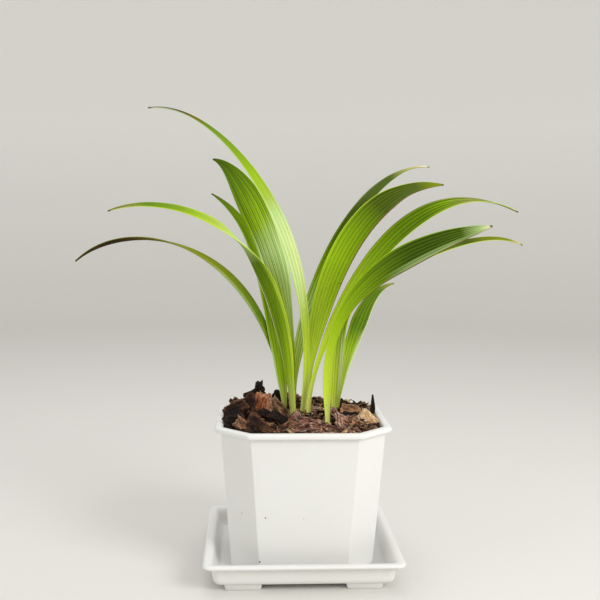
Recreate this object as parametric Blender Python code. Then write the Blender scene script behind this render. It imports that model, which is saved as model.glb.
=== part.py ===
"""Young areca palms in a white square pot that stands on its saucer.

Sizes are in millimetres and MM turns them into Blender's metres. The origin lies on the floor,
under the pot's axis. +Z is up, and the front of the pot faces -Y.
"""
import math
import random
from collections import namedtuple

import bmesh
import bpy
from mathutils import Matrix, Vector

MM = 0.001
CLEARANCE = 0.3
SHARP_ANGLE = math.radians(40)

# Pot: a square with its four corners cut off, wider at the rim, with a rounded lip
POT_BASE_HEIGHT = 7.3
POT_TOP_HEIGHT = 122.9
POT_BASE_HALF = 56.9
POT_BODY_TOP_HALF = 65.2
POT_BASE_CUT = 22.7
POT_BODY_TOP_CUT = 23.3
POT_WALL = 2.0
POT_LIP_HALF = 70.0
POT_LIP_HEIGHT = 4.5
POT_EDGE_RADIUS = 2.5
DRAIN_HOLE_RADIUS = 4.5
DRAIN_HOLE_SPREAD = 27.0

# Saucer: a shallow square tray with a rolled lip, standing on four moulded feet
SAUCER_TOP_HEIGHT = 23.0
SAUCER_FLOOR_HEIGHT = 7.0
SAUCER_UNDERSIDE_HEIGHT = 4.7
SAUCER_LIP_HALF = 78.3
SAUCER_WALL_TOP_HALF = 72.3
SAUCER_WALL = 2.2
SAUCER_LIP_HEIGHT = 3.2
SAUCER_CORNER_RADIUS = 7.0
FOOT_LENGTH = 30.5
FOOT_DEPTH = 14.0
FOOT_TAPER = 2.5
FOOT_CENTRE_X = 47.3
FOOT_OUTER_Y = 67.0

# Bark: chips heaped a little above the rim, highest at the back left
BARK_BASE_HEIGHT = POT_BASE_HEIGHT + POT_WALL + CLEARANCE
BARK_EDGE_HEIGHT = 117.5
CHIP_SIDES = 5
CHIP_SPACING = 13.0
CHIP_SEED = 11

# Each heap: its height over the edge, the place of its top, and its reach along X and Y
Heap = namedtuple("Heap", "height x y reach_x reach_y")
BARK_HEAPS = (Heap(3.5, 0, -5, 50, 50), Heap(9.0, 2, 32, 52, 18), Heap(8.0, -38, 10, 22, 24))

# Leaves: pleated blades that narrow into channelled stalks
SOIL_HEIGHT = 120.0
ROOT_DEPTH = 17.0
BLADE_THICKNESS = 0.75
STALK_THICKNESS = 2.2
LEAF_ROWS = 15
MIDRIB_SAMPLES = 160

# midrib: five points of one smooth curve, the first at the soil, read off the photo at real size
# widths: how far along the leaf, from 0 at the soil to 1 at the tip, and how wide it is there
# facing: turn of the upper face round the midrib, 0 facing the front, at the root and at the tip
# turn: the stretch of the leaf over which it turns from one to the other
Leaf = namedtuple("Leaf", "name midrib widths facing turn pleats colour")
LEAVES = (
    Leaf("leaf_left_tall",
         ((0.3, -1, SOIL_HEIGHT), (16, -2, 237), (-15, -9, 307), (-70, -18, 381), (-122, -28, 372)),
         ((0, 3.6), (0.12, 4.8), (0.20, 5.0), (0.31, 7.6), (0.40, 10.2), (0.53, 10.8), (0.60, 9.4), (0.75, 7.2),
          (0.88, 4.8), (1, 1.3)),
         (-5, -68), (0.40, 1.0), 4, (0.45, 0.68, 0.18)),
    Leaf("leaf_left_broad",
         ((-7.5, 6, SOIL_HEIGHT), (0, 7, 213), (-29, 11, 276), (-50, 16, 330), (-74, 22, 335)),
         ((0, 4.0), (0.20, 4.8), (0.30, 6.6), (0.36, 9.0), (0.42, 13.0), (0.49, 18.2), (0.56, 21.4),
          (0.64, 22.8), (0.77, 25.5), (0.87, 19.5), (1, 1.3)),
         (5, -25), (0.20, 0.90), 7, (0.30, 0.50, 0.08)),
    Leaf("leaf_left_back",
         ((-14, 10, SOIL_HEIGHT), (-10, 12, 155), (-35, 21, 211), (-19, 34, 272), (-76, 48, 307)),
         ((0, 3.6), (0.05, 4.2), (0.11, 6.8), (0.17, 9.0), (0.29, 10.2), (0.45, 11.4), (0.65, 12.2),
          (0.85, 8.0), (1, 1.3)),
         (-10, -35), (0.30, 0.90), 4, (0.22, 0.40, 0.06)),
    Leaf("leaf_left_arched",
         ((-6.5, -3, SOIL_HEIGHT), (-15, -6, 252), (-43, -20, 290), (-114, -37, 307), (-149, -58, 291)),
         ((0, 4.6), (0.12, 6.8), (0.22, 11.5), (0.33, 14.2), (0.45, 14.0), (0.60, 11.6), (0.76, 9.2),
          (0.90, 6.0), (1, 1.3)),
         (-148, -42), (0.43, 0.72), 5, (0.36, 0.56, 0.10)),
    Leaf("leaf_left_low",
         ((-11.5, 18, SOIL_HEIGHT), (-21, 20, 227), (-76, 28, 279), (-153, 39, 284), (-194, 52, 248)),
         ((0, 3.4), (0.10, 4.4), (0.24, 6.8), (0.38, 8.6), (0.55, 9.0), (0.70, 7.8), (0.87, 5.0), (1, 1.3)),
         (-20, -66), (0.10, 0.60), 4, (0.16, 0.27, 0.05)),
    Leaf("leaf_right_back",
         ((-4.5, 15, SOIL_HEIGHT), (-11, 19, 172), (14, 36, 269), (68, 59, 338), (120, 86, 334)),
         ((0, 3.4), (0.10, 4.8), (0.22, 9.0), (0.40, 10.2), (0.60, 10.8), (0.78, 9.4), (0.90, 4.6), (1, 1.5)),
         (15, 42), (0.30, 0.90), 4, (0.20, 0.36, 0.05)),
    Leaf("leaf_right_broad",
         ((5.5, 9, SOIL_HEIGHT), (5, 10, 189), (24, 16, 267), (61, 24, 319), (123, 34, 316)),
         ((0, 4.2), (0.15, 4.8), (0.24, 10.0), (0.36, 16.8), (0.53, 20.8), (0.70, 21.2), (0.79, 18.4),
          (0.86, 12.4), (0.93, 7.4), (1, 1.3)),
         (5, 28), (0.30, 0.90), 7, (0.38, 0.56, 0.08)),
    Leaf("leaf_right_long",
         ((6.5, -3.5, SOIL_HEIGHT), (1, -5, 162), (41, -11, 259), (97, -20, 331), (170, -30, 293)),
         ((0, 3.6), (0.18, 4.0), (0.28, 7.6), (0.42, 11.0), (0.60, 14.2), (0.72, 13.2), (0.82, 9.6),
          (0.92, 5.4), (1, 1.3)),
         (10, 60), (0.55, 0.90), 5, (0.34, 0.52, 0.08)),
    Leaf("leaf_right_front",
         ((20, -29, SOIL_HEIGHT), (17, -32, 192), (18, -46, 224), (61, -64, 264), (135, -86, 282)),
         ((0, 3.8), (0.05, 4.4), (0.10, 6.4), (0.15, 7.7), (0.23, 7.6), (0.28, 7.2), (0.35, 8.4), (0.45, 10.8),
          (0.56, 15.0), (0.70, 18.9), (0.83, 15.4), (0.93, 8.6), (1, 1.6)),
         (-8, 25), (0.30, 0.90), 7, (0.24, 0.40, 0.05)),
    Leaf("leaf_right_narrow",
         ((28.5, 10, SOIL_HEIGHT), (41, 11, 249), (11, 17, 184), (127, 25, 298), (193, 34, 265)),
         ((0, 3.8), (0.055, 7.0), (0.10, 8.4), (0.16, 9.8), (0.22, 9.6), (0.30, 8.0), (0.45, 8.2), (0.65, 8.8),
          (0.81, 7.4), (0.92, 4.8), (1, 1.3)),
         (25, 58), (0.10, 0.55), 4, (0.40, 0.52, 0.14)),
    Leaf("leaf_right_short",
         ((31.5, 15, SOIL_HEIGHT), (31, 18, 153), (53, 34, 190), (53, 54, 222), (88, 78, 228)),
         ((0, 3.4), (0.10, 4.0), (0.19, 6.0), (0.27, 7.8), (0.35, 9.6), (0.42, 11.8), (0.51, 13.2),
          (0.60, 14.4), (0.74, 11.0), (0.88, 5.6), (1, 1.4)),
         (10, 30), (0.30, 0.90), 5, (0.26, 0.42, 0.12)),
)

# Chips that give the heap its outline: centre, length, width, thickness, then yaw, pitch and roll
Chip = namedtuple("Chip", "centre size turn")
LANDMARK_CHIPS = (
    Chip((-35, 21, 142), (11, 8, 7), (90, -80, 0)),
    Chip((-38, 18, 135), (21, 14, 9), (10, -15, 50)),
    Chip((-20, 19, 135), (17, 12, 6), (80, -70, 0)),
    Chip((-33, -2, 132), (24, 12, 6), (90, -72, 0)),
    Chip((-20, 3, 129), (19, 14, 6), (70, -60, 10)),
    Chip((-53, -4, 129), (24, 14, 8), (5, -20, 50)),
    Chip((-50, 2, 124), (22, 14, 8), (-20, -10, 20)),
    Chip((-55, -28, 125), (18, 12, 7), (-10, -10, 40)),
    Chip((-48, -42, 121), (17, 9, 4), (-25, 25, 50)),
    Chip((-36, -38, 123), (21, 15, 6), (-35, 25, 45)),
    Chip((-23, -25, 123), (20, 10, 6), (-25, 15, 40)),
    Chip((16, -46, 120), (30, 9, 4), (-5, 2, 25)),
    Chip((38, -38, 121), (20, 11, 5), (25, 0, 35)),
    Chip((8, -24, 122), (17, 8, 4), (-20, 5, 30)),
    Chip((27, -18, 122), (16, 9, 5), (70, -30, 30)),
    Chip((42, 26, 127), (16, 11, 7), (20, 0, 20)),
    Chip((42, 9, 125), (18, 12, 6), (8, 0, 35)),
    Chip((42, -6, 121), (15, 10, 6), (0, 10, 30)),
    Chip((53, -20, 123), (20, 12, 5), (-15, 45, 55)),
    Chip((62, 12, 125), (25, 7, 4), (90, -84, 0)),
)


def smoothstep(value):
    value = min(1.0, max(0.0, value))
    return value * value * (3.0 - 2.0 * value)


def between(start, end, amount):
    return start + (end - start) * amount


# Building blocks
def new_object(name, mesh_builder, colour=None, roughness=0.5):
    """Make an object from a bmesh given in millimetres, with its own Principled material."""
    bmesh.ops.scale(mesh_builder, vec=(MM, MM, MM), verts=mesh_builder.verts)
    bmesh.ops.recalc_face_normals(mesh_builder, faces=mesh_builder.faces)
    bmesh.ops.triangulate(mesh_builder, faces=mesh_builder.faces)
    mesh = bpy.data.meshes.new(name)
    mesh_builder.to_mesh(mesh)
    mesh_builder.free()
    mesh.shade_smooth()
    mesh.set_sharp_from_angle(angle=SHARP_ANGLE)
    item = bpy.data.objects.new(name, mesh)
    bpy.context.scene.collection.objects.link(item)
    if colour:
        material = bpy.data.materials.new(name)
        material.use_nodes = True
        shader = material.node_tree.nodes["Principled BSDF"]
        shader.inputs["Base Color"].default_value = (*colour, 1.0)
        shader.inputs["Roughness"].default_value = roughness
        shader.inputs["Metallic"].default_value = 0.0
        mesh.materials.append(material)
    return item


def loft(rings):
    """Join rings of points, in order, into one closed body with a cap at each end."""
    built = bmesh.new()
    loops = [[built.verts.new(point) for point in ring] for ring in rings]
    for lower, upper in zip(loops, loops[1:]):
        for index in range(len(lower)):
            following = (index + 1) % len(lower)
            built.faces.new((lower[index], lower[following], upper[following], upper[index]))
    built.faces.new(reversed(loops[0]))
    built.faces.new(loops[-1])
    return built


def combine(item, others, operation, solver="EXACT"):
    """Apply one Boolean on a collection of solids to an object, then remove the collection."""
    group = bpy.data.collections.new("cutters")
    bpy.context.scene.collection.children.link(group)
    for other in others:
        bpy.context.scene.collection.objects.unlink(other)
        group.objects.link(other)
    modifier = item.modifiers.new("boolean", "BOOLEAN")
    modifier.operation = operation
    modifier.operand_type = "COLLECTION"
    modifier.collection = group
    modifier.solver = solver
    evaluated = item.evaluated_get(bpy.context.evaluated_depsgraph_get())
    result = bpy.data.meshes.new_from_object(evaluated)
    item.modifiers.clear()
    item.data = result
    for other in others:
        bpy.data.objects.remove(other)
    bpy.data.collections.remove(group)


def rounded_polygon(corners, radius, steps):
    """Replace each corner of a convex polygon by an arc of so many straight steps."""
    points = []
    for index, corner in enumerate(corners):
        before = (corners[index - 1] - corner).normalized()
        after = (corners[(index + 1) % len(corners)] - corner).normalized()
        half_angle = before.angle(after) / 2
        centre = corner + (before + after).normalized() * (radius / math.sin(half_angle))
        start = corner + before * (radius / math.tan(half_angle)) - centre
        end = corner + after * (radius / math.tan(half_angle)) - centre
        sweep = start.angle(end)
        for step in range(steps + 1):
            share = step / steps
            spoke = start * math.sin((1 - share) * sweep) + end * math.sin(share * sweep)
            points.append(centre + spoke / math.sin(sweep))
    return points


def cut_square(half, cut, radius, height):
    """Outline of the pot: a square with its corners cut at 45 degrees and the edges softened."""
    corners = [Vector(point) for point in (
        (half, cut - half), (half, half - cut), (half - cut, half), (cut - half, half),
        (-half, half - cut), (-half, cut - half), (cut - half, -half), (half - cut, -half))]
    return [Vector((x, y, height)) for x, y in rounded_polygon(corners, radius, 2)]


def soft_square(half, radius, height):
    """Outline of the saucer: a square with rounded corners."""
    corners = [Vector(point) for point in ((half, -half), (half, half), (-half, half), (-half, -half))]
    return [Vector((x, y, height)) for x, y in rounded_polygon(corners, radius, 5)]


# Pot
def pot_cut(half):
    """Length of the cut corner where the pot's outline is so far from its axis."""
    along = (half - POT_BASE_HALF) / (POT_BODY_TOP_HALF - POT_BASE_HALF)
    return between(POT_BASE_CUT, POT_BODY_TOP_CUT, along)


def offset_cut(half, inset):
    """Length of the cut corner after the wall is set in by a distance on every side."""
    return pot_cut(half) - inset * (2 - math.sqrt(2))


def pot_wall_half(height):
    """Distance from the pot's axis to its outer face at a height."""
    body_top = POT_TOP_HEIGHT - POT_LIP_HEIGHT
    along = (height - POT_BASE_HEIGHT) / (body_top - POT_BASE_HEIGHT)
    return between(POT_BASE_HALF, POT_BODY_TOP_HALF, along)


def wall_outline(height, inset):
    """Outline of the pot's body at a height, set in from its outer face."""
    half = pot_wall_half(height)
    return cut_square(half - inset, offset_cut(half, inset), POT_EDGE_RADIUS, height)


def lip_outline(half, height):
    """Outline of the lip, whose cut corners run parallel to those of the body."""
    outward = half - POT_BODY_TOP_HALF
    return cut_square(half, POT_BODY_TOP_CUT + outward * (2 - math.sqrt(2)), POT_EDGE_RADIUS + 2, height)


def make_pot():
    base, top = POT_BASE_HEIGHT, POT_TOP_HEIGHT
    under_lip = top - POT_LIP_HEIGHT
    inner_top_half = POT_BODY_TOP_HALF - POT_WALL
    rings = [
        cut_square(POT_BASE_HALF - 2.5, offset_cut(POT_BASE_HALF, 2.5), 1.5, base),
        wall_outline(base + 0.7, 0.8),
        wall_outline(base + 2.5, 0.0),
        wall_outline(under_lip, 0.0),
        lip_outline(POT_LIP_HALF - 1.0, under_lip),
        lip_outline(POT_LIP_HALF, under_lip + 1.0),
        lip_outline(POT_LIP_HALF, top - 1.6),
        lip_outline(POT_LIP_HALF - 0.8, top - 0.4),
        lip_outline(POT_LIP_HALF - 2.2, top),
        lip_outline(inner_top_half + 1.6, top),
        lip_outline(inner_top_half + 0.4, top - 0.7),
        wall_outline(under_lip, POT_WALL),
        wall_outline(base + POT_WALL + 1.5, POT_WALL),
        wall_outline(base + POT_WALL, POT_WALL + 1.5),
    ]
    pot = new_object("pot", loft(rings), (0.84, 0.82, 0.77), 0.35)
    places = [(0, 0)] + [(x * DRAIN_HOLE_SPREAD, y * DRAIN_HOLE_SPREAD) for x in (-1, 1) for y in (-1, 1)]
    drills = []
    for x, y in places:
        drill = bmesh.new()
        bmesh.ops.create_cone(drill, cap_ends=True, segments=12, radius1=DRAIN_HOLE_RADIUS,
                              radius2=DRAIN_HOLE_RADIUS, depth=3 * POT_WALL,
                              matrix=Matrix.Translation((x, y, base + POT_WALL / 2)))
        drills.append(new_object("drain_hole", drill))
    combine(pot, drills, "DIFFERENCE")
    return pot


# Saucer
def make_saucer():
    top, under = SAUCER_TOP_HEIGHT, SAUCER_UNDERSIDE_HEIGHT
    wall, lip = SAUCER_WALL_TOP_HALF, SAUCER_LIP_HALF
    corner = SAUCER_CORNER_RADIUS
    under_lip = top - SAUCER_LIP_HEIGHT
    inside = wall - SAUCER_WALL
    rings = [
        soft_square(wall - 6.0, corner - 3.5, under),
        soft_square(wall - 3.2, corner - 1.5, under + 1.0),
        soft_square(wall - 1.8, corner - 1.0, under + 3.6),
        soft_square(wall, corner - 1.0, under_lip),
        soft_square(lip - 1.0, corner, under_lip),
        soft_square(lip, corner, under_lip + 1.0),
        soft_square(lip, corner, top - 1.2),
        soft_square(lip - 1.2, corner - 1.0, top),
        soft_square(inside + 3.4, corner - 2.0, top),
        soft_square(inside + 1.2, corner - 2.4, top - 1.1),
        soft_square(inside, corner - 2.6, top - 3.6),
        soft_square(inside - 1.6, corner - 2.8, SAUCER_FLOOR_HEIGHT + 3.0),
        soft_square(inside - 3.8, corner - 4.0, SAUCER_FLOOR_HEIGHT),
    ]
    saucer = new_object("saucer", loft(rings), (0.86, 0.84, 0.80), 0.35)
    feet = []
    sunk = under + (SAUCER_FLOOR_HEIGHT - under) / 2
    for side in (-1, 1):
        for end in (-1, 1):
            middle = Vector((side * FOOT_CENTRE_X, end * (FOOT_OUTER_Y - FOOT_DEPTH / 2), 0))
            outlines = []
            for height, inset in ((0.0, FOOT_TAPER), (0.6, FOOT_TAPER * 0.55), (sunk, 0.0)):
                x, y = FOOT_LENGTH / 2 - inset, FOOT_DEPTH / 2 - inset / 2
                corners = [Vector(point) for point in ((x, -y), (x, y), (-x, y), (-x, -y))]
                outline = rounded_polygon(corners, 2.0, 2)
                outlines.append([middle + Vector((px, py, height)) for px, py in outline])
            feet.append(new_object("foot", loft(outlines)))
    combine(saucer, feet, "UNION")
    return saucer


# Leaves
def midrib_curve(leaf):
    """Points evenly spread along the leaf's midrib, which is a Bezier curve, and its length."""
    spread = []
    for sample in range(MIDRIB_SAMPLES + 1):
        share = sample / MIDRIB_SAMPLES
        points = [Vector(point) for point in leaf.midrib]
        while len(points) > 1:
            points = [a.lerp(b, share) for a, b in zip(points, points[1:])]
        spread.append(points[0])
    lengths = [0.0]
    for a, b in zip(spread, spread[1:]):
        lengths.append(lengths[-1] + (b - a).length)
    return spread, lengths


def midrib_at(curve, along):
    """Place and direction at a fraction of the leaf's length; below 0 the root runs straight on."""
    spread, lengths = curve
    distance = along * lengths[-1]
    if distance <= 0:
        direction = (spread[1] - spread[0]).normalized()
        return spread[0] + direction * distance, direction
    index = 1
    while index < MIDRIB_SAMPLES and lengths[index] < distance:
        index += 1
    share = (distance - lengths[index - 1]) / (lengths[index] - lengths[index - 1])
    place = spread[index - 1].lerp(spread[index], min(1.0, share))
    before = spread[max(0, index - 3)]
    after = spread[min(MIDRIB_SAMPLES, index + 2)]
    return place, (after - before).normalized()


def leaf_frame(leaf, curve, along):
    """Place on the midrib, the way across the blade and the way its upper face looks."""
    place, direction = midrib_at(curve, along)
    start, end = leaf.turn
    angle = math.radians(between(leaf.facing[0], leaf.facing[1], smoothstep((along - start) / (end - start))))
    front = Vector((0, -1, 0))
    front = (front - direction * front.dot(direction)).normalized()
    up_face = front * math.cos(angle) + front.cross(direction) * math.sin(angle)
    return place, direction.cross(up_face), up_face


def leaf_width(leaf, along):
    """Width of the leaf, from its list of widths joined by a smooth line."""
    stops = leaf.widths
    index = 0
    while index < len(stops) - 2 and along > stops[index + 1][0]:
        index += 1
    (start, start_width), (end, end_width) = stops[index], stops[index + 1]
    before, after = stops[max(0, index - 1)], stops[min(len(stops) - 1, index + 2)]
    start_slope = (end_width - before[1]) / (end - before[0])
    end_slope = (after[1] - start_width) / (after[0] - start)
    step = end - start
    share = min(1.0, max(0.0, (along - start) / step))
    back = share - 1
    return ((1 + 2 * share) * back * back * start_width + share * back * back * step * start_slope
            + share * share * (3 - 2 * share) * end_width + share * share * back * step * end_slope)


def leaf_section(leaf, along, across):
    """Height of the upper face above the midrib plane, and the thickness, at -1..1 across."""
    opened = smoothstep(along / 0.35)
    channel = between(0.50, 0.10, opened) * leaf_width(leaf, along) / 2
    thickness = between(STALK_THICKNESS, BLADE_THICKNESS, opened)
    thickness = between(thickness, BLADE_THICKNESS, across * across)
    return channel * (across * across - 0.4), thickness


def make_leaf(leaf):
    curve = midrib_curve(leaf)
    columns = 2 * leaf.pleats
    rows = [-ROOT_DEPTH / curve[1][-1]] + [row / LEAF_ROWS for row in range(LEAF_ROWS + 1)]
    built = bmesh.new()
    upper, lower = [], []
    for along in rows:
        place, sideways, up_face = leaf_frame(leaf, curve, along)
        width = leaf_width(leaf, along)
        fold = 0.15 * width / leaf.pleats
        fold *= smoothstep((along - 0.08) / 0.25) * (1 - smoothstep((along - 0.8) / 0.2))
        top_row, under_row = [], []
        for column in range(columns + 1):
            across = 2 * column / columns - 1
            height, thickness = leaf_section(leaf, along, across)
            height += fold if column % 2 else -fold
            point = place + sideways * (across * width / 2) + up_face * height
            top_row.append(built.verts.new(point))
            under_row.append(built.verts.new(point - up_face * thickness))
        upper.append(top_row)
        lower.append(under_row)
    for row in range(len(rows) - 1):
        for column in range(columns):
            for sheet in (upper, lower):
                near, far = sheet[row], sheet[row + 1]
                built.faces.new((near[column], near[column + 1], far[column + 1]))
                built.faces.new((near[column], far[column + 1], far[column]))
        for column in (0, columns):
            built.faces.new((upper[row][column], upper[row + 1][column],
                             lower[row + 1][column], lower[row][column]))
    for row in (0, len(rows) - 1):
        for column in range(columns):
            built.faces.new((upper[row][column], upper[row][column + 1],
                             lower[row][column + 1], lower[row][column]))
    return new_object(leaf.name, built, leaf.colour, 0.4)


def stalk_hole(leaf):
    """Plain hole that follows the stalk through the bark, a little wider than the stalk."""
    curve = midrib_curve(leaf)
    rings = []
    for along in (-(ROOT_DEPTH + CLEARANCE) / curve[1][-1], 0.0, 1 / LEAF_ROWS, 2 / LEAF_ROWS):
        place, sideways, up_face = leaf_frame(leaf, curve, along)
        middle_height, middle_thickness = leaf_section(leaf, along, 0.0)
        top, bottom = leaf_section(leaf, along, 1.0)[0], middle_height - middle_thickness
        reach = 1.15 * leaf_width(leaf, along) / 2 + 1.5 * CLEARANCE
        rise = 1.15 * (top - bottom) / 2 + 1.5 * CLEARANCE
        middle = place + up_face * (top + bottom) / 2
        corners = ((1, -0.7), (1, 0.7), (0.85, 1), (-0.85, 1), (-1, 0.7), (-1, -0.7), (-0.85, -1), (0.85, -1))
        rings.append([middle + sideways * (reach * x) + up_face * (rise * y) for x, y in corners])
    return new_object("stalk_hole", loft(rings))


# Bark
def bark_height(x, y):
    """Height of the surface that the chips lie on."""
    height = BARK_EDGE_HEIGHT
    for heap in BARK_HEAPS:
        away = ((x - heap.x) / heap.reach_x) ** 2 + ((y - heap.y) / heap.reach_y) ** 2
        height += heap.height * math.exp(-away)
    return height


def make_chip(chip, draw):
    """One chip of bark: a flat, slightly bowed piece with an uneven outline."""
    length, width, thickness = chip.size
    yaw, pitch, roll = (math.radians(angle) for angle in chip.turn)
    turn = Matrix.Rotation(yaw, 3, "Z") @ Matrix.Rotation(pitch, 3, "Y") @ Matrix.Rotation(roll, 3, "X")
    outline = []
    for step in range(CHIP_SIDES):
        angle = 2 * math.pi * (step + draw.uniform(-0.25, 0.25)) / CHIP_SIDES
        outline.append((length / 2 * math.cos(angle) * draw.uniform(0.85, 1.15),
                        width / 2 * math.sin(angle) * draw.uniform(0.9, 1.3)))
    bow = draw.uniform(-0.15, 0.15) * thickness
    rings = []
    for level, scale in ((-0.5, 0.9), (0.5, draw.uniform(0.75, 0.95))):
        ring = []
        for x, y in outline:
            bend = bow * (2 * x / length) ** 2 + draw.uniform(-0.08, 0.08) * thickness
            point = Vector((x * scale, y * scale, level * thickness + bend))
            ring.append(Vector(chip.centre) + turn @ point)
        rings.append(ring)
    return new_object("chip", loft(rings))


def spread_chips(draw):
    """Chips laid over the whole heap on a jittered grid, each with its own size and tilt."""
    chips = []
    count = int(2 * POT_BODY_TOP_HALF / CHIP_SPACING)
    for column in range(count):
        for row in range(count):
            x = (column - (count - 1) / 2) * CHIP_SPACING + draw.uniform(-3.5, 3.5)
            y = (row - (count - 1) / 2) * CHIP_SPACING + draw.uniform(-3.5, 3.5)
            size = (draw.uniform(13, 20), draw.uniform(8, 12), draw.uniform(3.5, 5.5))
            turn = (draw.uniform(0, 180), draw.uniform(-25, 25), draw.uniform(-25, 25))
            lift = draw.uniform(-1.0, 1.5)
            if abs(x) < 56 and abs(y) < 56 and abs(x) + abs(y) < 94:
                chips.append(Chip((x, y, bark_height(x, y) + lift), size, turn))
    return chips


def make_bark():
    """The filling of the pot and the chips on it are one body with plain holes for the stalks."""
    wall = POT_WALL + CLEARANCE
    rings = [wall_outline(BARK_BASE_HEIGHT, wall + 1.5), wall_outline(BARK_BASE_HEIGHT + 2, wall),
             wall_outline(BARK_EDGE_HEIGHT - 0.5, wall)]
    for share in (0.85, 0.6, 0.35, 0.12):
        ring = []
        for point in rings[2]:
            x, y = point.x * share, point.y * share
            ring.append(Vector((x, y, bark_height(x, y))))
        rings.append(ring)
    bark = new_object("bark_fill", loft(rings), (0.11, 0.06, 0.04), 0.9)
    draw = random.Random(CHIP_SEED)
    chips = list(LANDMARK_CHIPS) + spread_chips(draw)
    combine(bark, [make_chip(chip, draw) for chip in chips], "UNION", "MANIFOLD")

    rim = POT_TOP_HEIGHT
    room = [wall_outline(BARK_BASE_HEIGHT - 0.1, wall), wall_outline(rim - POT_LIP_HEIGHT, wall),
            lip_outline(POT_BODY_TOP_HALF - wall, rim + CLEARANCE),
            lip_outline(POT_BODY_TOP_HALF - wall + 3, rim + CLEARANCE + 3),
            lip_outline(POT_BODY_TOP_HALF - wall + 3, rim + 40)]
    combine(bark, [new_object("room", loft(room))], "INTERSECT", "MANIFOLD")
    combine(bark, [stalk_hole(leaf) for leaf in LEAVES], "DIFFERENCE", "MANIFOLD")
    return bark


def main():
    for item in list(bpy.data.objects):
        bpy.data.objects.remove(item)
    make_saucer()
    make_pot()
    make_bark()
    for leaf in LEAVES:
        make_leaf(leaf)


main()
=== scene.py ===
"""Young areca palms in a white square pot on its saucer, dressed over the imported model.

Sizes are in millimetres and MM turns them into metres. The origin lies on the floor, under the
pot's axis. +Z is up, and the front of the pot faces -Y.
"""

import math
import random
from collections import namedtuple

import bmesh
import bpy
from mathutils import Matrix, Vector, noise
from mathutils.bvhtree import BVHTree


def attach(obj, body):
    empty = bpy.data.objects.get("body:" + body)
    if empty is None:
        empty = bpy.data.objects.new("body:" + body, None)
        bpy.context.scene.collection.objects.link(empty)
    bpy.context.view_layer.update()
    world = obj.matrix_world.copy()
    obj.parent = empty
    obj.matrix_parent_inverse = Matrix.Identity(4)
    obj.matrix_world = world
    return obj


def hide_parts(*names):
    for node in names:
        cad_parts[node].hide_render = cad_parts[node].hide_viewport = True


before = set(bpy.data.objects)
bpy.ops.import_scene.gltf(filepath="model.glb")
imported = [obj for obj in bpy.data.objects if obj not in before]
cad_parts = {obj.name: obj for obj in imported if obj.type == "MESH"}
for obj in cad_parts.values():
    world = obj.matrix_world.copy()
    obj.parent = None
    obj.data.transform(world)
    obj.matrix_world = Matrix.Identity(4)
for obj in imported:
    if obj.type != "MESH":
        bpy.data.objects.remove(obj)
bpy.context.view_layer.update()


# Saucer
# The tray under the pot is one moulding of white plastic, with a rolled lip and four tapered feet.
# It stands loose on the floor. Handling has left it a little uneven in gloss, with specks of soil.
MM = 0.001
SAUCER_CORNER_STEPS = 8
SAUCER_FLOOR_HEIGHT = 7.0
SAUCER_UNDERSIDE_HEIGHT = 4.7
FOOT_HALF_LENGTH = 15.25
FOOT_HALF_DEPTH = 7.0
FOOT_PLACE_X = 47.3
FOOT_PLACE_Y = 60.0
FOOT_CORNER = 2.0
FOOT_CORNER_STEPS = 4
PLASTIC_WHITE = "#ececea"
PLASTIC_WARM = "#e8e6e0"

# Each ring of the moulding: half its width, corner radius, height, and how far it is softened
TrayRing = namedtuple("TrayRing", "half corner height soft")
SAUCER_RINGS = [TrayRing(*row) for row in (
    (66.3, 3.5, SAUCER_UNDERSIDE_HEIGHT, 0.5), (69.1, 5.5, 5.7, 1.1), (70.5, 6.0, 8.3, 1.1),
    (72.3, 6.0, 19.8, 0.4), (77.3, 7.0, 19.8, 0.45), (78.3, 7.0, 20.8, 0.4),
    (78.3, 7.0, 21.8, 0.4), (77.1, 6.0, 23.0, 0.7), (73.5, 5.0, 23.0, 0.9), (71.3, 4.6, 21.9, 0.9),
    (70.1, 4.4, 19.4, 1.0), (68.5, 4.2, 10.0, 1.6), (66.3, 3.0, SAUCER_FLOOR_HEIGHT, 1.5))]
# Each ring of a foot: its height, and how far it is set in from the widest one
FOOT_RINGS = ((0.0, 2.5), (0.6, 1.4), (5.85, 0.0))


def linear(code):
    """The colour of a six-figure code as the shader wants it."""
    parts = [int(code[place:place + 2], 16) / 255 for place in (1, 3, 5)]
    return (*[part / 12.92 if part <= 0.04045 else ((part + 0.055) / 1.055) ** 2.4
              for part in parts], 1.0)


def fill_in(shader, inputs):
    """Fill a shader node's inputs with values, or with the outputs of other nodes."""
    for socket, value in inputs.items():
        if isinstance(value, bpy.types.NodeSocket):
            shader.id_data.links.new(value, shader.inputs[socket])
        else:
            shader.inputs[socket].default_value = value


def node(tree, kind, inputs=None, **settings):
    """Add a shader node, set its options and fill its inputs."""
    made = tree.nodes.new("ShaderNode" + kind)
    for option, value in settings.items():
        setattr(made, option, value)
    fill_in(made, inputs or {})
    return made


def mixed(amount, first, second, kind="MIX"):
    """Colour between two colours."""
    made = node(amount.id_data, "Mix", {0: amount, 6: first, 7: second}, data_type="RGBA",
                blend_type=kind)
    return made.outputs[2]


def mapped(amount, low, high, start=0.0, end=1.0):
    """Amount stretched from one range to another and held inside it."""
    made = node(amount.id_data, "MapRange", {"Value": amount, "From Min": low, "From Max": high,
                                             "To Min": start, "To Max": end})
    return made.outputs["Result"]


def reckoned(operation, first, second=0.0):
    """Result of one sum on two amounts."""
    made = node(first.id_data, "Math", {0: first, 1: second}, operation=operation)
    return made.outputs["Value"]


def times(first, second):
    """Product of two amounts."""
    return reckoned("MULTIPLY", first, second)


def added(total, *amounts):
    """Sum of any number of amounts."""
    for amount in amounts:
        total = reckoned("ADD", total, amount)
    return total


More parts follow.
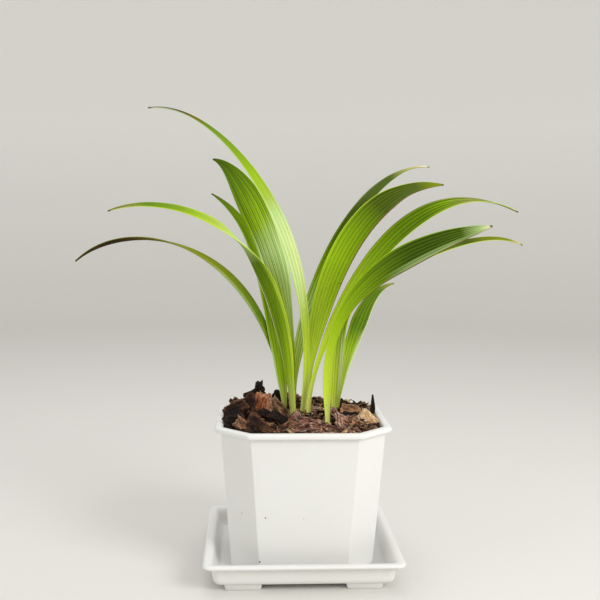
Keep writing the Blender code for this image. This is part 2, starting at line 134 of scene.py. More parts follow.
def cloudy(place, scale=1.0, detail=2.0):
    """Cloudy pattern from 0 to 1 at a place."""
    made = node(place.id_data, "TexNoise", {"Vector": place, "Scale": scale, "Detail": detail})
    return made.outputs["Fac"]


def stretched(place, scale, shift=(0, 0, 0)):
    """Place with each of its three parts scaled, and then shifted."""
    made = node(place.id_data, "Mapping", {"Vector": place, "Scale": scale, "Location": shift})
    return made.outputs["Vector"]


def away_from(place, spot):
    """Distance of a place from a spot."""
    made = node(place.id_data, "VectorMath", {0: place, 1: spot}, operation="DISTANCE")
    return made.outputs["Value"]


def specked(place, scale, reach, share):
    """Scattered small specks, from 0 to 1: how far each one reaches, and which cells have one."""
    cells = node(place.id_data, "TexVoronoi", {"Vector": place, "Scale": scale})
    chosen = node(place.id_data, "SeparateColor", {"Color": cells.outputs["Color"]})
    return times(mapped(cells.outputs["Distance"], *reach), mapped(chosen.outputs["Red"], *share))


def new_finish(name):
    """An empty Principled finish: the material, its node tree and its shader."""
    material = bpy.data.materials.new(name)
    material.use_nodes = True
    return material, material.node_tree, material.node_tree.nodes["Principled BSDF"]


def plastic_finish(name, clean, warm, specks=()):
    """Satin moulded plastic: uneven gloss, faint ripple, fine scuffs and a few specks of soil."""
    material, tree, shader = new_finish(name)
    place = node(tree, "TexCoord").outputs["Object"]
    cloud = cloudy(place, 9.0, 3.0)
    colour = mixed(mapped(cloud, 0.35, 0.75, 0.0, 0.6), linear(clean), linear(warm))
    speck = specked(place, 42.0, (0.017, 0.011), (0.80, 0.82))
    for spot, breadth in specks:
        away = away_from(place, Vector(spot) * MM)
        speck = reckoned("MAXIMUM", speck, mapped(away, breadth / 2 * MM, breadth / 4 * MM))
    colour = mixed(speck, colour, linear("#4a3a2c"))
    scuffs = cloudy(stretched(place, (40.0, 40.0, 700.0)), detail=3.0)
    gloss = added(mapped(cloud, 0.3, 0.7, 0.26, 0.38), mapped(scuffs, 0.60, 0.80, 0.0, 0.14))
    relief = added(times(cloudy(place, 420.0), 0.03), cloudy(place, 28.0, 1.0))
    bump = node(tree, "Bump", {"Height": relief, "Strength": 0.25, "Distance": 0.0006})
    fill_in(shader, {"Base Color": colour, "Roughness": gloss, "Normal": bump.outputs["Normal"],
                     "IOR": 1.49, "Subsurface Weight": 0.08, "Subsurface Scale": 0.5,
                     "Subsurface Radius": (0.004, 0.0035, 0.003)})
    return material


def rounded_loop(built, corners, rounding, steps, height):
    """Closed loop of edges round a regular outline with rounded corners. Its edges are returned."""
    plate = built.faces.new([built.verts.new((x, y, height)) for x, y in corners])
    cut_back = rounding * math.tan(math.pi / len(corners))
    bmesh.ops.bevel(built, geom=plate.verts[:], offset=cut_back, offset_type="OFFSET",
                    segments=steps, profile=0.5, affect="VERTICES", material=-1)
    built.faces.ensure_lookup_table()
    loop = built.faces[0].edges[:]
    built.faces.remove(built.faces[0])
    return loop


def square(half_x, half_y, centre=(0, 0)):
    """Corners of a rectangle, in order."""
    x, y = centre
    return [(x - half_x, y - half_y), (x + half_x, y - half_y),
            (x + half_x, y + half_y), (x - half_x, y + half_y)]


def skin(built, loops):
    """Lay a wall from each loop of edges to the next one."""
    for lower, upper in zip(loops, loops[1:]):
        bmesh.ops.bridge_loops(built, edges=lower + upper)


def close_ends(built, loops):
    """Fill the first and the last of a row of loops."""
    for loop in (loops[0], loops[-1]):
        bmesh.ops.contextual_create(built, geom=loop)


def soften(built, loop, reach):
    """Round off a loop of edges."""
    bmesh.ops.bevel(built, geom=loop, offset=reach, offset_type="OFFSET", segments=3, profile=0.5,
                    affect="EDGES", material=-1, clamp_overlap=True)


def face_outwards(built):
    """Turn every face of a closed shape outwards."""
    bmesh.ops.recalc_face_normals(built, faces=built.faces)
    if built.calc_volume(signed=True) < 0:
        bmesh.ops.reverse_faces(built, faces=built.faces)


def piece(built, name, material, replaced, sharp=40):
    """Finish a mesh drawn in millimetres, set it on the body and let it stand for its CAD node."""
    bmesh.ops.scale(built, vec=(MM, MM, MM), verts=built.verts)
    mesh = bpy.data.meshes.new(name)
    built.to_mesh(mesh)
    built.free()
    mesh.materials.append(material)
    mesh.shade_smooth()
    mesh.set_sharp_from_angle(angle=math.radians(sharp))
    made = bpy.data.objects.new(name, mesh)
    bpy.context.scene.collection.objects.link(made)
    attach(made, "root")
    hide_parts(replaced)


tray = bmesh.new()
tray_loops = [rounded_loop(tray, square(ring.half, ring.half), ring.corner,
                           SAUCER_CORNER_STEPS, ring.height) for ring in SAUCER_RINGS]
foot_loops = []
for side in (-1, 1):
    for end in (-1, 1):
        middle = (side * FOOT_PLACE_X, end * FOOT_PLACE_Y)
        foot_loops.append([rounded_loop(
            tray, square(FOOT_HALF_LENGTH - inset, FOOT_HALF_DEPTH - inset / 2, middle),
            FOOT_CORNER, FOOT_CORNER_STEPS, height) for height, inset in FOOT_RINGS])
for loops in [tray_loops] + foot_loops:
    skin(tray, loops)
    close_ends(tray, loops)
for ring, loop in zip(SAUCER_RINGS, tray_loops):
    soften(tray, loop, ring.soft)
face_outwards(tray)
saucer_plastic = plastic_finish("saucer_plastic", PLASTIC_WHITE, PLASTIC_WARM)
piece(tray, "saucer_moulding", saucer_plastic, "saucer")


# Pot
# A square pot with its four corners cut off, moulded in the same white plastic, wider at the rim
# and with a rounded lip. It stands loose in the saucer, and its floor has five drain holes.
POT_BASE_HEIGHT = 7.3
POT_TOP_HEIGHT = 122.9
POT_LIP_HEIGHT = 4.5
POT_BASE_HALF = 56.9
POT_BODY_TOP_HALF = 65.2
POT_BASE_CUT = 22.7
POT_BODY_TOP_CUT = 23.3
POT_LIP_HALF = 70.0
POT_WALL = 2.0
POT_CORNER_STEPS = 5
DRAIN_HOLE_RADIUS = 4.5
DRAIN_HOLE_SPREAD = 27.0
DRAIN_HOLE_POINTS = 20
CUT_INSET = 2 - math.sqrt(2)
# Specks of soil on the outside: place and breadth
POT_SPECKS = (((-30.2, -60.5, 55.3), 1.5), ((-34.5, -57.8, 19.3), 1.8), ((-48.4, -49.6, 56.0), 1.1))
UNDER_LIP = POT_TOP_HEIGHT - POT_LIP_HEIGHT


def cut_square(half, cut):
    """Corners of a square whose own corners are cut off at 45 degrees, in order."""
    near = half - cut
    return [(half, -near), (half, near), (near, half), (-near, half),
            (-half, near), (-half, -near), (-near, -half), (near, -half)]


def pot_body(height, inset):
    """Outline of the pot's body at a height, set in from its outer face."""
    rise = (height - POT_BASE_HEIGHT) / (UNDER_LIP - POT_BASE_HEIGHT)
    half = POT_BASE_HALF + (POT_BODY_TOP_HALF - POT_BASE_HALF) * rise
    cut = POT_BASE_CUT + (POT_BODY_TOP_CUT - POT_BASE_CUT) * rise
    return cut_square(half - inset, cut - inset * CUT_INSET)


def pot_lip(half):
    """Outline of the lip, whose cut corners run parallel to those of the body."""
    return cut_square(half, POT_BODY_TOP_CUT + (half - POT_BODY_TOP_HALF) * CUT_INSET)


inner_top = POT_BODY_TOP_HALF - POT_WALL
inner_floor = POT_BASE_HEIGHT + POT_WALL
# Each ring of the moulding, from the base up and over the lip to the inner floor: its outline,
# corner radius, height, and how far it is softened
pot_rings = (
    (pot_body(POT_BASE_HEIGHT, 2.5), 1.5, POT_BASE_HEIGHT, 0.4),
    (pot_body(POT_BASE_HEIGHT + 0.7, 0.8), 1.6, POT_BASE_HEIGHT + 0.7, 0.4),
    (pot_body(POT_BASE_HEIGHT + 2.5, 0.0), 1.6, POT_BASE_HEIGHT + 2.5, 0.7),
    (pot_body(UNDER_LIP, 0.0), 1.6, UNDER_LIP, 0.5),
    (pot_lip(POT_LIP_HALF - 1.0), 4.5, UNDER_LIP, 0.4),
    (pot_lip(POT_LIP_HALF), 4.5, UNDER_LIP + 1.0, 0.4),
    (pot_lip(POT_LIP_HALF), 4.5, POT_TOP_HEIGHT - 1.6, 0.45),
    (pot_lip(POT_LIP_HALF - 0.8), 4.5, POT_TOP_HEIGHT - 0.4, 0.45),
    (pot_lip(POT_LIP_HALF - 2.2), 4.5, POT_TOP_HEIGHT, 0.45),
    (pot_lip(inner_top + 1.6), 4.5, POT_TOP_HEIGHT, 0.45),
    (pot_lip(inner_top + 0.4), 4.5, POT_TOP_HEIGHT - 0.7, 0.45),
    (pot_body(UNDER_LIP, POT_WALL), 2.5, UNDER_LIP, 0.8),
    (pot_body(inner_floor + 1.5, POT_WALL), 2.5, inner_floor + 1.5, 0.5),
    (pot_body(inner_floor, POT_WALL + 1.5), 1.5, inner_floor, 0.4))
pot = bmesh.new()
pot_loops = [rounded_loop(pot, corners, rounding, POT_CORNER_STEPS, height)
             for corners, rounding, height, soft in pot_rings]
skin(pot, pot_loops)
for (corners, rounding, height, soft), loop in list(zip(pot_rings, pot_loops))[1:-1]:
    soften(pot, loop, soft)
drain_places = [(0, 0)] + [(x * DRAIN_HOLE_SPREAD, y * DRAIN_HOLE_SPREAD)
                           for x in (-1, 1) for y in (-1, 1)]
drain_loops = {}
for loop, height in ((pot_loops[0], POT_BASE_HEIGHT), (pot_loops[-1], inner_floor)):
    for x, y in drain_places:
        rim = bmesh.ops.create_circle(pot, segments=DRAIN_HOLE_POINTS, radius=DRAIN_HOLE_RADIUS,
                                      matrix=Matrix.Translation((x, y, height)))["verts"]
        drain_loops[x, y, height] = list({edge for vertex in rim for edge in vertex.link_edges})
    edges = loop + [edge for place, rim in drain_loops.items() if place[2] == height
                    for edge in rim]
    bmesh.ops.triangle_fill(pot, edges=edges, use_beauty=True, normal=(0, 0, 1))
for x, y in drain_places:
    skin(pot, [drain_loops[x, y, POT_BASE_HEIGHT], drain_loops[x, y, inner_floor]])
face_outwards(pot)
pot_plastic = plastic_finish("pot_plastic", PLASTIC_WHITE, PLASTIC_WARM, POT_SPECKS)
piece(pot, "pot_moulding", pot_plastic, "pot")


# Bark
# The pot is filled with broken pine bark: dark layered chips heaped at the back left, reddish and
# tan flakes to the right, and crumbs between them. They lie loose on each other.
CLEARANCE = 0.3
BARK_BASE_HEIGHT = POT_BASE_HEIGHT + POT_WALL + CLEARANCE
BARK_EDGE_HEIGHT = 117.5
BARK_OVERHANG = 3.0
FILL_CORNER = 2.0
FILL_CORNER_STEPS = 3
FILL_RINGS = 20
FILL_RING_SHRINK = 0.05
FILL_LUMPS = 2.6
FILL_SINK = 1.2
CHIP_SEED = 11
CHIP_SPACING = 12.0
CHIP_JITTER = 3.5
CHIP_REACH = 60
CHIP_REACH_ASLANT = 99
CHIP_GRID = (12, 8)
CHIP_SPLITS = (-0.5, -0.2, -0.2, 0.15, 0.15, 0.5)
CRUMB_TRIES = 3400
CRUMB_REACH = 62
CRUMB_REACH_ASLANT = 101
CRUMB_LEAST_RISE = 0.35
SLIVER_SHARE = 0.35
BARK_TONES = {
    "black": ("#0c0604", "#2e1c14", "#5c4030"), "umber": ("#180b06", "#4e2d1c", "#96694a"),
    "brown": ("#28140a", "#b07a54", "#ecc29c"), "russet": ("#2e1008", "#c88c70", "#fad8c0"),
    "orange": ("#763514", "#de9060", "#f0c09a"), "beige": ("#4a3022", "#b28a6a", "#dcc0a0"),
    "tan": ("#b88a58", "#f6d6ac", "#fceccf"), "ochre": ("#4c2e1a", "#bc8a60", "#e4c096")}
# The bark is dark to the left of this place, and redder to the right of it
DARK_SIDE = -12
LEFT_CHIP_TONES = ("black", "umber", "black", "umber", "brown", "black")
RIGHT_CHIP_TONES = ("russet", "umber", "brown", "russet", "black", "brown")
LEFT_CRUMB_TONES = ("black", "umber", "brown")
RIGHT_CRUMB_TONES = ("russet", "brown", "black", "beige", "umber", "tan")
Heap = namedtuple("Heap", "height x y reach_x reach_y")
BARK_HEAPS = (Heap(3.5, 0, -5, 50, 50), Heap(9.0, 2, 32, 52, 18), Heap(8.0, -38, 10, 22, 24))

# Chips that give the heap its outline: centre, size, turn, tone of the bark, how far it tapers, and
# how rough its faces and ends are
Chip = namedtuple("Chip", "centre size turn tone taper rough")
LANDMARK_CHIPS = [Chip(*row) for row in (
    ((-35, 21, 142), (11, 10, 7), (90, -80, 0), "black", 0.3, 0.7),
    ((-36, 18, 133), (17, 14, 9), (10, -20, 50), "black", 0.1, 0.8),
    ((-20, 19, 133), (20, 16, 6), (50, -55, 0), "black", 0.5, 1.2),
    ((-33.5, -1, 130), (24, 12.5, 5), (0, -82, 70), "orange", 0.0, 0.8),
    ((-20, 4, 129), (20, 12, 5), (-10, 42, 60), "beige", 0.1, 0.8),
    ((-54, -3, 129.5), (23, 12, 7), (0, -22, 55), "umber", 0.1, 0.8),
    ((-44, 1, 128.5), (20, 14, 7), (0, -55, 55), "umber", 0.1, 0.6),
    ((-50, 8, 124), (22, 14, 8), (-20, -10, 20), "black", 0.1, 0.8),
    ((-57, -8, 124), (17, 12, 7), (-10, -25, 50), "black", 0.1, 0.6),
    ((-57, -28, 122.5), (16, 12, 7), (-10, 15, 50), "black", 0.1, 0.8),
    ((-46, -40, 121), (17, 9, 4), (-5, 38, 55), "brown", 0.2, 0.8),
    ((-38.5, -37, 122), (22, 16, 6), (-5, 34, 50), "umber", 0.0, 0.4),
    ((-29, -15, 125.5), (17, 10, 7), (0, 25, 50), "black", 0.1, 0.5),
    ((-18, -23, 124), (18, 9, 6), (0, 30, 50), "black", 0.2, 0.6),
    ((-9, -23, 124), (22, 8, 4), (0, -42, 50), "russet", 0.3, 0.7),
    ((-14, -42, 121.5), (19, 8, 4), (0, -30, 45), "brown", 0.2, 0.7),
    ((-2, -45, 121.5), (16, 7, 4), (0, -14, 40), "russet", 0.2, 0.8),
    ((4, -31, 123.5), (22, 9, 4), (0, 8, 45), "russet", 0.2, 0.7),
    ((15, -45, 121), (31, 9, 4), (0, 6, 35), "russet", 0.2, 0.7),
    ((28, -12, 123.5), (18, 9, 5), (0, 50, 50), "russet", 0.3, 0.8),
    ((36, -33, 122), (22, 9, 4.5), (0, 30, 45), "russet", 0.2, 0.7),
    ((46, -36, 121), (16, 8, 4), (0, 18, 40), "brown", 0.3, 0.8),
    ((36, 27, 126.5), (12, 10, 6), (20, 0, 20), "black", 0.2, 1.0),
    ((47, 22, 123), (14, 9, 5), (-10, 8, 20), "brown", 0.2, 1.0),
    ((42, 8, 125), (19, 11, 5), (0, 6, 40), "ochre", 0.2, 0.7),
    ((41, -4, 121.5), (17, 10, 5), (0, 0, 40), "black", 0.2, 0.8),
    ((53, -21.5, 122.8), (20, 15, 4.5), (0, 54, 62), "tan", 0.0, 0.3),
    ((61.5, 12, 122), (28, 7.5, 4), (90, -86, 0), "black", 0.75, 0.5),
    ((60, -18, 119.5), (14, 8, 4), (0, 60, 50), "ochre", 0.2, 0.6),
)]


def bark_finish():
    """Bark: fibres along each chip's grain, own tones, painted shade in hollows, paler broken
    edges.
    """
    material, tree, shader = new_finish("bark")
    grain, deep, pale, edge = [node(tree, "Attribute", attribute_name=name).outputs
                               for name in ("grain", "deep_tone", "pale_tone", "edge_tone")]
    grain = grain["Vector"]
    along = stretched(grain, (0.10, 0.9, 1.6))
    fibres = node(tree, "TexNoise", {"Vector": along, "Scale": 1.0, "Detail": 6.0,
                                     "Roughness": 0.75, "Distortion": 0.5}).outputs["Fac"]
    hairs = cloudy(stretched(grain, (0.30, 3.2, 3.6)), detail=3.0)
    blotches = cloudy(grain, 0.20, 3.0)
    shaded_pits = node(tree, "TexVoronoi", {"Vector": grain, "Scale": 0.75},
                feature="SMOOTH_F1").outputs["Distance"]
    amount = added(mapped(fibres, 0.40, 0.62, -0.20, 0.75),
                   mapped(blotches, 0.35, 0.65, -0.30, 0.40),
                   mapped(hairs, 0.35, 0.65, -0.22, 0.22))
    colour = mixed(mapped(amount, 0.0, 1.0), deep["Color"], pale["Color"])
    broken = times(edge["Alpha"], mapped(fibres, 0.42, 0.60, 0.0, 0.75))
    colour = mixed(broken, colour, edge["Color"])
    # Painted shade: the pits, where the bump sinks the surface, are darkened towards near black.
    colour = mixed(mapped(shaded_pits, 0.08, 0.26, 0.6, 0.0), colour, linear("#0f0805"))
    rough = mapped(fibres, 0.3, 0.7, 0.70, 0.95)
    relief = added(fibres, times(shaded_pits, 0.4), times(hairs, 0.35))
    bump = node(tree, "Bump", {"Height": relief, "Strength": 1.0, "Distance": 0.0012})
    fill_in(shader, {"Base Color": colour, "Roughness": rough, "Normal": bump.outputs["Normal"],
                     "Specular IOR Level": 0.25})
    return material


def bark_height(x, y):
    """Height of the surface that the chips lie on."""
    height = BARK_EDGE_HEIGHT
    for heap in BARK_HEAPS:
        away = ((x - heap.x) / heap.reach_x) ** 2 + ((y - heap.y) / heap.reach_y) ** 2
        height += heap.height * math.exp(-away)
    return height


def inside_pot(point):
    """The point moved, where it has to be, clear of the pot's inner wall."""
    x, y, z = point
    rise = (min(z, UNDER_LIP) - POT_BASE_HEIGHT) / (UNDER_LIP - POT_BASE_HEIGHT)
    half = POT_BASE_HALF + (POT_BODY_TOP_HALF - POT_BASE_HALF) * rise - POT_WALL - CLEARANCE
    half += min(BARK_OVERHANG, max(0.0, z - POT_TOP_HEIGHT - CLEARANCE))
    x, y = max(-half, min(half, x)), max(-half, min(half, y))
    over = abs(x) + abs(y) - (2 * half - POT_BODY_TOP_CUT + (POT_WALL + CLEARANCE) * CUT_INSET)
    if over > 0:
        x -= math.copysign(over / 2, x)
        y -= math.copysign(over / 2, y)
    return Vector((x, y, z))


def bark_layers(built):
    """The four layers of the mesh that the bark finish reads."""
    layers = built.verts.layers
    return (layers.float_vector.new("grain"), layers.float_color.new("deep_tone"),
            layers.float_color.new("pale_tone"), layers.float_color.new("edge_tone"))


def dress_bark(verts, layers, local, tone, shift, shade=1.0, worn=None):
    """Give a chip's points their place in its grain, its three tones and how worn each is."""
    tones = [Vector(linear(code)[:3]) * shade for code in BARK_TONES[tone]]
    for index, (vertex, place) in enumerate(zip(verts, local)):
        vertex[layers[0]] = place + shift
        vertex[layers[1]] = (*tones[0], 1.0)
        vertex[layers[2]] = (*tones[1], 1.0)
        vertex[layers[3]] = (*tones[2], worn[index] if worn else 0.0)


def smooth_step(value):
    """0 to 1 with a soft start and end."""
    value = min(1.0, max(0.0, value))
    return value * value * (3.0 - 2.0 * value)


def turn_of(yaw, pitch, roll):
    """A roll, then a pitch, then a yaw, in radians, as one turn."""
    return (Matrix.Rotation(yaw, 3, "Z") @ Matrix.Rotation(pitch, 3, "Y")
            @ Matrix.Rotation(roll, 3, "X"))


def pour(source, built):
    """Add a copy of one mesh to another."""
    carried = bpy.data.meshes.new("carried")
    source.to_mesh(carried)
    built.from_mesh(carried)
    bpy.data.meshes.remove(carried)


def random_place(draw):
    """A place of its own in the grain, far from the other chips' places."""
    return Vector([draw.uniform(-90, 90) for axis in range(3)])


def add_chip(built, chip, draw):
    """One chip: a four-sided slab of three split layers, with splintered ends and ledges."""
    length, width, thickness = chip.size
    turn = turn_of(*[math.radians(angle) for angle in chip.turn])
    flake = bmesh.new()
    flake_layers = bark_layers(flake)
    bmesh.ops.create_grid(flake, x_segments=CHIP_GRID[0], y_segments=CHIP_GRID[1], size=0.5)
    bmesh.ops.translate(flake, vec=(0, 0, CHIP_SPLITS[0]), verts=flake.verts)
    step_of = {vertex: 0 for vertex in flake.verts}
    sheet = flake.faces[:]
    for step, level in enumerate(CHIP_SPLITS[1:], 1):
        grown = bmesh.ops.extrude_face_region(flake, geom=sheet)["geom"]
        if step > 1:
            bmesh.ops.delete(flake, geom=sheet, context="FACES")
        sheet = [item for item in grown if isinstance(item, bmesh.types.BMFace)]
        for item in grown:
            if isinstance(item, bmesh.types.BMVert):
                item.co.z = level
                step_of[item] = step
    seed = random_place(draw)
    layer_form = [(draw.uniform(0.74, 1.0), draw.uniform(0.72, 1.0), draw.uniform(-0.09, 0.09),
                   draw.uniform(-0.09, 0.09)) for layer in range(3)]
    skew = [(draw.uniform(-0.14, 0.14), draw.uniform(-0.16, 0.16)) for corner in range(4)]
    bow = draw.uniform(-0.30, 0.15) * thickness
    twist = draw.uniform(-0.25, 0.25)
    verts, local, worn = list(flake.verts), [], []
    for vertex in verts:
        x, y, z = vertex.co
        layer = step_of[vertex] // 2
        shares = ((0.5 - x) * (0.5 - y), (0.5 + x) * (0.5 - y),
                  (0.5 + x) * (0.5 + y), (0.5 - x) * (0.5 + y))
        plan_x = x + sum(share * move[0] for share, move in zip(shares, skew))
        plan_y = y + sum(share * move[1] for share, move in zip(shares, skew))
        stretch_x, stretch_y, shift_x, shift_y = layer_form[layer]
        narrowed = 1 - chip.taper * (x + 0.5)
        px = (plan_x * stretch_x + shift_x) * length
        py = (plan_y * stretch_y + shift_y) * width * narrowed
        pz = z * thickness * (1 - 0.35 * chip.taper * (x + 0.5))
        to_end = smooth_step((abs(x) - 0.2) / 0.3) * math.copysign(1, x)
        to_side = smooth_step((abs(y) - 0.2) / 0.3) * math.copysign(1, y)
        splinter = noise.noise(seed + Vector((py * 0.30, layer * 5, 0))) * 3.0
        splinter += noise.noise(seed + Vector((py * 1.1, layer * 7, 4))) * 2.2
        px += splinter * chip.rough * to_end * min(1.0, width / 10)
        frayed = noise.noise(seed + Vector((px * 0.22, 7, layer * 5))) * 1.8
        frayed += noise.noise(seed + Vector((px * 0.9, 11, layer * 7))) * 0.9
        py += frayed * chip.rough * to_side * min(1.0, width * narrowed / 12)
        ridge = noise.noise(seed + Vector((px * 0.07, py * 0.5, 3)))
        ledge = 0.14 * smooth_step((ridge + 0.05) / 0.10) + 0.08 * ridge
        fine = noise.noise(seed + Vector((px * 0.5, py * 1.6, 9))) * 0.05
        pz += (ledge + fine) * chip.rough * thickness * (1 if z >= 0 else -0.6) + bow * (2 * x) ** 2
        py, pz = (py * math.cos(twist * x) - pz * math.sin(twist * x),
                  py * math.sin(twist * x) + pz * math.cos(twist * x))
        place = Vector((px, py, pz))
        local.append(place)
        worn.append(smooth_step((max(abs(x), abs(y)) - 0.40) / 0.09))
        vertex.co = inside_pot(Vector(chip.centre) + turn @ place)
    dress_bark(verts, flake_layers, local, chip.tone, seed, draw.uniform(0.75, 1.25), worn)
    face_outwards(flake)
    pour(flake, built)
    flake.free()


def spread_chips(draw):
    """Chips laid over the whole heap on a jittered grid, each with its own size, tilt and tone."""
    chips = []
    count = int(2 * POT_BODY_TOP_HALF / CHIP_SPACING)
    for column in range(count):
        for row in range(count):
            x, y = [(place - (count - 1) / 2) * CHIP_SPACING
                    + draw.uniform(-CHIP_JITTER, CHIP_JITTER) for place in (column, row)]
            size = (draw.uniform(14, 22), draw.uniform(8, 12), draw.uniform(3.5, 6.0))
            turn = (draw.uniform(0, 180), draw.uniform(-30, 30), draw.uniform(-30, 30))
            lift = draw.uniform(-1.5, 1.0)
            hidden = any(math.hypot(x - chip.centre[0], y - chip.centre[1]) < 0.38 * chip.size[0]
                         for chip in LANDMARK_CHIPS)
            within = max(abs(x), abs(y)) < CHIP_REACH and abs(x) + abs(y) < CHIP_REACH_ASLANT
            if within and not hidden:
                tones = LEFT_CHIP_TONES if x < DARK_SIDE else RIGHT_CHIP_TONES
                tone = tones[(column * 7 + row * 5) % len(tones)]
                place = (x, y, bark_height(x, y) + lift)
                chips.append(Chip(place, size, turn, tone, 0.15, 0.9))
    return chips


def add_crumb(built, layers, place, size, turn, tone, draw):
    """One crumb: a thin shard with uneven corners."""
    first = len(built.verts)
    bmesh.ops.create_cube(built, size=1.0)
    built.verts.ensure_lookup_table()
    verts = built.verts[first:]
    local = []
    for vertex in verts:
        spot = Vector([part * scale * draw.uniform(0.55, 1.25)
                       for part, scale in zip(vertex.co, size)])
        local.append(spot)
        vertex.co = inside_pot(place + turn @ spot)
    dress_bark(verts, layers, local, tone, random_place(draw), draw.uniform(0.75, 1.3),
               [draw.uniform(0.0, 0.6) for vertex in verts])


bark = bark_finish()
draw = random.Random(CHIP_SEED)
fill = bmesh.new()
fill_layers = bark_layers(fill)
wall = POT_WALL + CLEARANCE
fill_loops = [
    rounded_loop(fill, pot_body(height, inset), FILL_CORNER, FILL_CORNER_STEPS, height)
    for height, inset in ((BARK_BASE_HEIGHT, wall + 1.5), (BARK_BASE_HEIGHT + 2, wall),
                          (BARK_EDGE_HEIGHT - 2, wall))]
for step in range(1, FILL_RINGS):
    share = 1 - FILL_RING_SHRINK * step
    loop = rounded_loop(fill, pot_body(BARK_EDGE_HEIGHT, wall), FILL_CORNER, FILL_CORNER_STEPS,
                        BARK_EDGE_HEIGHT)
    loop_verts = list({vertex for edge in loop for vertex in edge.verts})
    bmesh.ops.scale(fill, vec=(share, share, 1), verts=loop_verts)
    fill_loops.append(loop)
skin(fill, fill_loops)
close_ends(fill, fill_loops)
for vertex in fill.verts:
    if vertex.co.z > BARK_EDGE_HEIGHT - 1:
        lumps = noise.fractal(vertex.co * 0.14, 1.0, 2.0, 4) * FILL_LUMPS
        vertex.co.z = bark_height(vertex.co.x, vertex.co.y) - FILL_SINK + lumps
fill_places = [vertex.co.copy() for vertex in fill.verts]
dress_bark(list(fill.verts), fill_layers, fill_places, "umber", Vector((0, 0, 0)))
face_outwards(fill)

chips = bmesh.new()
bark_layers(chips)
for chip in LANDMARK_CHIPS:
    add_chip(chips, chip, draw)
landmark_faces = len(fill.faces) + len(chips.faces)
for chip in spread_chips(draw):
    add_chip(chips, chip, draw)

# Crumbs are dropped from above. None stays on the large chips, and few on the others.
ground = bmesh.new()
for source in (fill, chips):
    pour(source, ground)
surface = BVHTree.FromBMesh(ground)
ground.free()
crumbs = bmesh.new()
crumb_layers = bark_layers(crumbs)
for trial in range(CRUMB_TRIES):
    x, y = draw.uniform(-CRUMB_REACH, CRUMB_REACH), draw.uniform(-CRUMB_REACH, CRUMB_REACH)
    if abs(x) + abs(y) > CRUMB_REACH_ASLANT:
        continue
    hit, normal, index, depth = surface.ray_cast(Vector((x, y, 200)), Vector((0, 0, -1)))
    if hit is None or normal.z < CRUMB_LEAST_RISE or len(fill.faces) <= index < landmark_faces:
        continue
    sliver = draw.random() < SLIVER_SHARE
    if index >= landmark_faces and draw.random() < (0.9 if x < DARK_SIDE else 0.45):
        continue
    scale = draw.uniform(0.7, 1.5)
    size = (draw.uniform(6, 12), 1.5, 0.9) if sliver else (5.0 * scale, 3.2 * scale, 1.1 * scale)
    spin = turn_of(draw.uniform(0, 2 * math.pi), draw.uniform(-0.6, 0.6), draw.uniform(-0.6, 0.6))
    tone = draw.choice(LEFT_CRUMB_TONES if x < DARK_SIDE else RIGHT_CRUMB_TONES)
    add_crumb(crumbs, crumb_layers, hit + Vector((0, 0, 0.5 * size[2])), size, spin, tone, draw)

piece(fill, "bark_filling", bark, "bark_fill")
piece(chips, "bark_chips", bark, "bark_fill", 28)
piece(crumbs, "bark_crumbs", bark, "bark_fill", 30)


# Leaves
# Eleven seedling leaves stand in the bark, each a pleated strap that narrows into a channelled
# stalk. They are thin and glossy, pale at the foot and dry at the tip. Their sunken folds are
# darker, partly in their own green and partly with painted shade, and some carry painted sheen.
SOIL_HEIGHT = 120.0
ROOT_DEPTH = 17.0
BLADE_THICKNESS = 0.75
STALK_THICKNESS = 2.2
EDGE_THICKNESS = 0.45
# Depths of the channel and of one fold, as shares of half the width and of a pleat's width
STALK_CHANNEL = 0.50
BLADE_CHANNEL = 0.10
FOLD_DEPTH = 0.15
# How far along the leaf the stalk has opened into the blade
OPENED_AT = 0.35
# Specks and marks are measured as if every leaf were this wide
MARKED_WIDTH = 12.0
ROWS_ALONG = 110
POINTS_PER_PLEAT = 8
MIDRIB_SAMPLES = 200
GREENS = {
    "cream": "#f4f2c8", "straw": "#dfe08a", "pale": "#eef9b6", "mint": "#cde69a",
    "glaucous": "#b4cf86", "lime": "#c9e040", "spring": "#b4cc46", "fresh": "#a4c616",
    "grass": "#86a80a", "moss": "#6a8a04", "deep": "#4e6a00", "loden": "#506400",
    "olive": "#828c10", "bronze": "#74660c", "umber": "#483404", "soot": "#302204",
    "sand": "#d6c080", "rust": "#7a4a1c", "ash": "#a2a658"}
